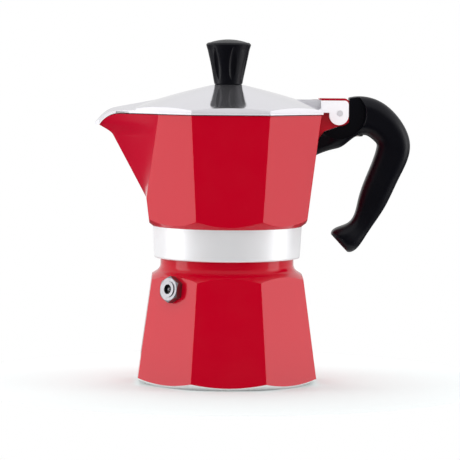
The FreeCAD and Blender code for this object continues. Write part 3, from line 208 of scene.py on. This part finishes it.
def boiler_finish(middle, normal):
    """Enamel outside, bare aluminium inside and above the collector's skirt, and on the turned foot a
    near-white aluminium that is painted light.
    """
    inside = away_from_axis(middle, normal) < 0 and middle.z > 1 * MM
    floor_inside = normal.z > 0.9 and middle.z < 10 * MM
    foot = normal.z < -0.3 and middle.z < foot_bevel_top
    if inside or floor_inside:
        return CAST
    if foot:
        return FOOT_PAINTED_LIGHT
    return SPUN if middle.z > neck_bottom else RED


def on_spout(middle, normal):
    """Whether a face lies past the plane of the side that the spout grows from, or off the flat sides."""
    share = (middle.z - band_top) / (rim_height - band_top)
    side = half_flats_at_band + (half_flats_at_rim - half_flats_at_band) * share
    past_side = middle.x < -side - 0.2 * MM
    # The flat side that the spout grows from, or the plane and slope of those next to it
    own_side = normal.x < -0.98
    in_plane = abs((abs(middle.x) + abs(middle.y)) * math.sqrt(0.5) - side) < 0.06 * MM
    next_side = in_plane and abs(normal.x + 0.702) < 0.01
    flank = middle.x < flank_start and middle.z > flank_bottom and not (own_side or next_side)
    return past_side or flank


def collector_finish(middle, normal):
    """Enamel on facets, underside, spout and lug, with the spout's flanks in a darker red that is painted
    shade; bare aluminium on the turned band, rim and inside.
    """
    outward = away_from_axis(middle, normal)
    band = middle.z < band_top + 0.01 * MM
    rim = normal.z > 0.7 and middle.z < rim_height + 0.1 * MM
    if middle.x < lug_start and outward < 0 and middle.z > band_top:
        return CAST
    if band or rim:
        return TURNED
    return SPOUT_PAINTED_SHADE if outward > 0 and on_spout(middle, normal) else RED


def lid_finish(middle, normal):
    """Polished on the crown, satin on the flange, painted white on the ears' sides as a painted highlight,
    bare casting underneath.
    """
    if middle.x > ear_start and abs(normal.y) > 0.9:
        return EAR_PAINTED_LIGHT
    inside = away_from_axis(middle, normal) < 0 and normal.z < 0.3 and middle.x < ear_start
    if inside or normal.z < -0.3:
        return CAST
    return POLISHED if normal.z > 0.6 else SATIN


finish("boiler", RED, SPUN, CAST, FOOT_PAINTED_LIGHT, choose=boiler_finish)
finish("collector", RED, TURNED, CAST, SPOUT_PAINTED_SHADE, choose=collector_finish)
finish("lid", POLISHED, SATIN, EAR_PAINTED_LIGHT, CAST, choose=lid_finish)
for name in ("funnel", "funnel_filter_disc", "filter_plate", "chimney"):
    finish(name, SPUN)
for name in ("valve_seat_ring", "valve_spring", "knob_screw", "knob_washer", "handle_screw"):
    finish(name, STEEL)
for name in ("safety_valve_body", "valve_pin"):
    finish(name, NICKEL)
finish("hinge_pin", SATIN)
for name in ("handle", "lid_knob"):
    finish(name, NYLON)
finish("gasket", SILICONE)


def select_only(piece):
    """Make piece the one that operators act on."""
    bpy.ops.object.select_all(action="DESELECT")
    piece.select_set(True)
    bpy.context.view_layer.objects.active = piece


def worked(piece, kind, **settings):
    """Add a modifier to piece and apply it."""
    select_only(piece)
    modifier = piece.modifiers.new(kind.lower(), kind)
    for name, value in settings.items():
        setattr(modifier, name, value)
    bpy.ops.object.modifier_apply(modifier=modifier.name)


def cut(piece, tool, operation="DIFFERENCE"):
    """Shape piece with tool, which is then thrown away."""
    worked(piece, "BOOLEAN", object=tool, operation=operation, solver="EXACT")
    bpy.data.objects.remove(tool)


def smoothed(piece):
    """Shade piece smooth, apart from its sharper edges."""
    select_only(piece)
    bpy.ops.object.shade_smooth_by_angle(angle=math.radians(25))


def blank_of(node, name, body):
    """A copy of a CAD node with its corners merged, to be worked further and shown in its place."""
    piece = bpy.data.objects.new(name, nodes[node].data.copy())
    bpy.context.scene.collection.objects.link(piece)
    select_only(piece)
    bpy.ops.object.mode_set(mode="EDIT")
    bpy.ops.mesh.select_all(action="SELECT")
    bpy.ops.mesh.remove_doubles(threshold=0.001 * MM)
    bpy.ops.object.mode_set(mode="OBJECT")
    bpy.ops.mesh.customdata_custom_splitnormals_clear()
    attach(piece, body)
    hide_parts(node)
    return piece


def add_valve_nut():
    """The valve's hexagon with its corners turned off in front, as on any milled nut."""
    nut = blank_of("safety_valve_body", "valve_nut", "boiler")
    # The nut keeps what lies inside this cone, which widens from its tip by 60 degrees to a side
    tip = 4.3 * MM
    tip_radius = 3.9 * MM
    length = 12.5 * MM
    base_radius = tip_radius + length * math.tan(math.radians(60))
    bpy.ops.object.select_all(action="DESELECT")
    bpy.ops.mesh.primitive_cone_add(vertices=128, radius1=base_radius, radius2=tip_radius, depth=length,
                                    location=valve_spot + valve_axis * (tip - length / 2),
                                    rotation=valve_axis.to_track_quat("Z", "Y").to_euler())
    cut(nut, bpy.context.object, "INTERSECT")
    smoothed(nut)


def add_valve_coil():
    """The valve's spring, which on the real valve shortens towards the mouth as the pin comes out; here a
    copy with its own mesh, shown in the CAD spring's place.
    """
    coil = blank_of("valve_spring", "valve_coil", "boiler")
    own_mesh(coil)


def add_cross_screw(node, name, body, across):
    """A screw with a cross recess in its head, which looks down."""
    screw = blank_of(node, name, body)
    low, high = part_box(node)
    head = Vector(((low.x + high.x) / 2, (low.y + high.y) / 2, low.z))
    slot_width = across / 4.2
    # The cutter is centred on the head's face, so half of its height goes in
    cutter_height = 2.2 * MM
    for size in ((across, slot_width, cutter_height), (slot_width, across, cutter_height)):
        bpy.ops.object.select_all(action="DESELECT")
        bpy.ops.mesh.primitive_cube_add(size=1, location=head, scale=size)
        cut(screw, bpy.context.object)
    smoothed(screw)


def add_neck_thread():
    """Right-handed thread on the boiler's neck, which shows when the collector is lifted off."""
    pitch = 2.5 * MM
    turns = 2.6
    thread_radius = 31.05 * MM
    thread_bottom = 62.9 * MM
    bpy.ops.object.select_all(action="DESELECT")
    bpy.ops.mesh.primitive_circle_add(vertices=6, radius=0.75 * MM, rotation=(math.radians(90), 0, 0),
                                      location=(thread_radius, 0, thread_bottom))
    thread = bpy.context.object
    thread.name = "neck_thread"
    bpy.ops.object.transform_apply()
    worked(thread, "SCREW", angle=turns * math.tau, screw_offset=turns * pitch, steps=260, render_steps=260,
           use_smooth_shade=False)
    bpy.ops.object.mode_set(mode="EDIT")
    bpy.ops.mesh.select_all(action="SELECT")
    bpy.ops.mesh.fill_holes(sides=0)
    bpy.ops.mesh.select_all(action="SELECT")
    bpy.ops.mesh.normals_make_consistent(inside=False)
    bpy.ops.object.mode_set(mode="OBJECT")
    smoothed(thread)
    thread.data.materials.append(SPUN)
    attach(thread, "boiler")


add_valve_nut()
add_valve_coil()
add_cross_screw("knob_screw", "knob_cross_screw", "lid", 4.4 * MM)
add_cross_screw("handle_screw", "handle_cross_screw", "collector", 3.4 * MM)
add_neck_thread()


def add_stage():
    """Pale floor, soft boxes above and at both sides, and a weak strip in front."""
    bpy.ops.object.select_all(action="DESELECT")
    bpy.ops.mesh.primitive_circle_add(vertices=96, radius=0.13, fill_type="NGON", location=(0, 0, 0))
    floor = bpy.context.object
    floor.name = "floor"
    pale = surface("pale_floor", Base_Color=linear("DBE0E0"), Roughness=0.7, Specular_IOR_Level=0.0)
    floor.data.materials.append(pale)
    # name, place, size across, size up, power, where it points
    for name, place, across, up, power, target in (
            ("top_box", (0, 0.35, 1.1), 1.4, 1.4, 5.2, (0, 0, 0.08)),
            ("left_box", (-0.9, -0.06, 0.18), 0.4, 0.8, 3.1, (0, 0, 0.1)),
            ("right_box", (0.9, -0.06, 0.18), 0.4, 0.8, 2.7, (0, 0, 0.1)),
            ("front_strip", (0, -1.6, 0.1), 1.2, 0.14, 0.3, (0, 0, 0.12))):
        lamp = bpy.data.lights.new(name, "AREA")
        lamp.shape = "RECTANGLE"
        lamp.size = across
        lamp.size_y = up
        lamp.energy = power
        box = bpy.data.objects.new(name, lamp)
        box.location = place
        # The lid mirrors the even ceiling instead of the box above it
        box.visible_glossy = name != "top_box"
        box.rotation_euler = (Vector(target) - Vector(place)).to_track_quat("-Z", "Y").to_euler()
        bpy.context.scene.collection.objects.link(box)


def add_surround():
    """White for the camera. In mirrors, a pale room that is dark on the camera's own side."""
    world = bpy.data.worlds.new("studio")
    bpy.context.scene.world = world
    world.use_nodes = True
    tree = world.node_tree
    tree.nodes.clear()
    ray = add_node(tree, "ShaderNodeLightPath")
    way = add_node(tree, "ShaderNodeTexCoord")
    split = add_node(tree, "ShaderNodeSeparateXYZ", {"Vector": way.outputs["Generated"]})
    # Walls: pale at the back and sides, dark in front, dimmer below the floor's edge
    wall = add_node(tree, "ShaderNodeMapRange",
                    {"Value": split.outputs["Y"], "From Min": -0.9, "From Max": -0.3},
                    interpolation_type="SMOOTHSTEP")
    low = add_node(tree, "ShaderNodeMapRange",
                   {"Value": split.outputs["Z"], "From Min": -0.16, "From Max": -0.05,
                    "To Min": 0.1, "To Max": 0.85}, interpolation_type="SMOOTHSTEP")
    walls = add_node(tree, "ShaderNodeMath", {0: wall.outputs[0], 1: low.outputs[0]}, operation="MULTIPLY")
    # Ceiling: pale all over
    above = add_node(tree, "ShaderNodeMapRange",
                     {"Value": split.outputs["Z"], "From Min": 0.3, "From Max": 0.5},
                     interpolation_type="SMOOTHSTEP")
    room = add_node(tree, "ShaderNodeMix", {"Factor": above.outputs[0], "A": walls.outputs[0], "B": 0.9},
                    data_type="FLOAT")
    # Soft light: weaker from the front, so that the shadow gathers there
    soft = add_node(tree, "ShaderNodeMapRange",
                    {"Value": split.outputs["Y"], "From Min": -1.0, "From Max": 1.0,
                     "To Min": 0.92, "To Max": 1.32})
    mirrored = add_node(tree, "ShaderNodeMath",
                        {0: ray.outputs["Is Glossy Ray"], 1: ray.outputs["Is Transmission Ray"]},
                        operation="MAXIMUM")
    shown = add_node(tree, "ShaderNodeMix",
                     {"Factor": mirrored.outputs[0], "A": soft.outputs[0], "B": room.outputs[0]},
                     data_type="FLOAT")
    level = add_node(tree, "ShaderNodeMix",
                     {"Factor": ray.outputs["Is Camera Ray"], "A": shown.outputs[0], "B": 1.0},
                     data_type="FLOAT")
    light = add_node(tree, "ShaderNodeBackground",
                     {"Color": linear("FFFFFF"), "Strength": level.outputs[0]})
    add_node(tree, "ShaderNodeOutputWorld", {"Surface": light.outputs[0]})


def add_camera():
    """The photograph's view: a long lens from the front, about as high as the knob, to the spout's side."""
    distance = 1307.6 * MM
    height = 157.2 * MM
    side = math.radians(1.7)
    roll = math.radians(-0.45)
    across = Vector((math.cos(side), -math.sin(side), 0))
    aim = across * 1.35 * MM + Vector((0, 0, 72.7 * MM))
    lens = bpy.data.cameras.new("photo_view")
    lens.sensor_width = 36
    lens.lens = 213.8
    camera = bpy.data.objects.new("photo_view", lens)
    camera.location = (-distance * math.sin(side), -distance * math.cos(side), height)
    turn = (aim - camera.location).to_track_quat("-Z", "Y").to_matrix()
    camera.rotation_euler = (turn @ Euler((0, 0, -roll)).to_matrix()).to_euler()
    bpy.context.scene.collection.objects.link(camera)
    bpy.context.scene.camera = camera


add_stage()
add_surround()
add_camera()
bpy.context.scene.view_settings.view_transform = "Standard"
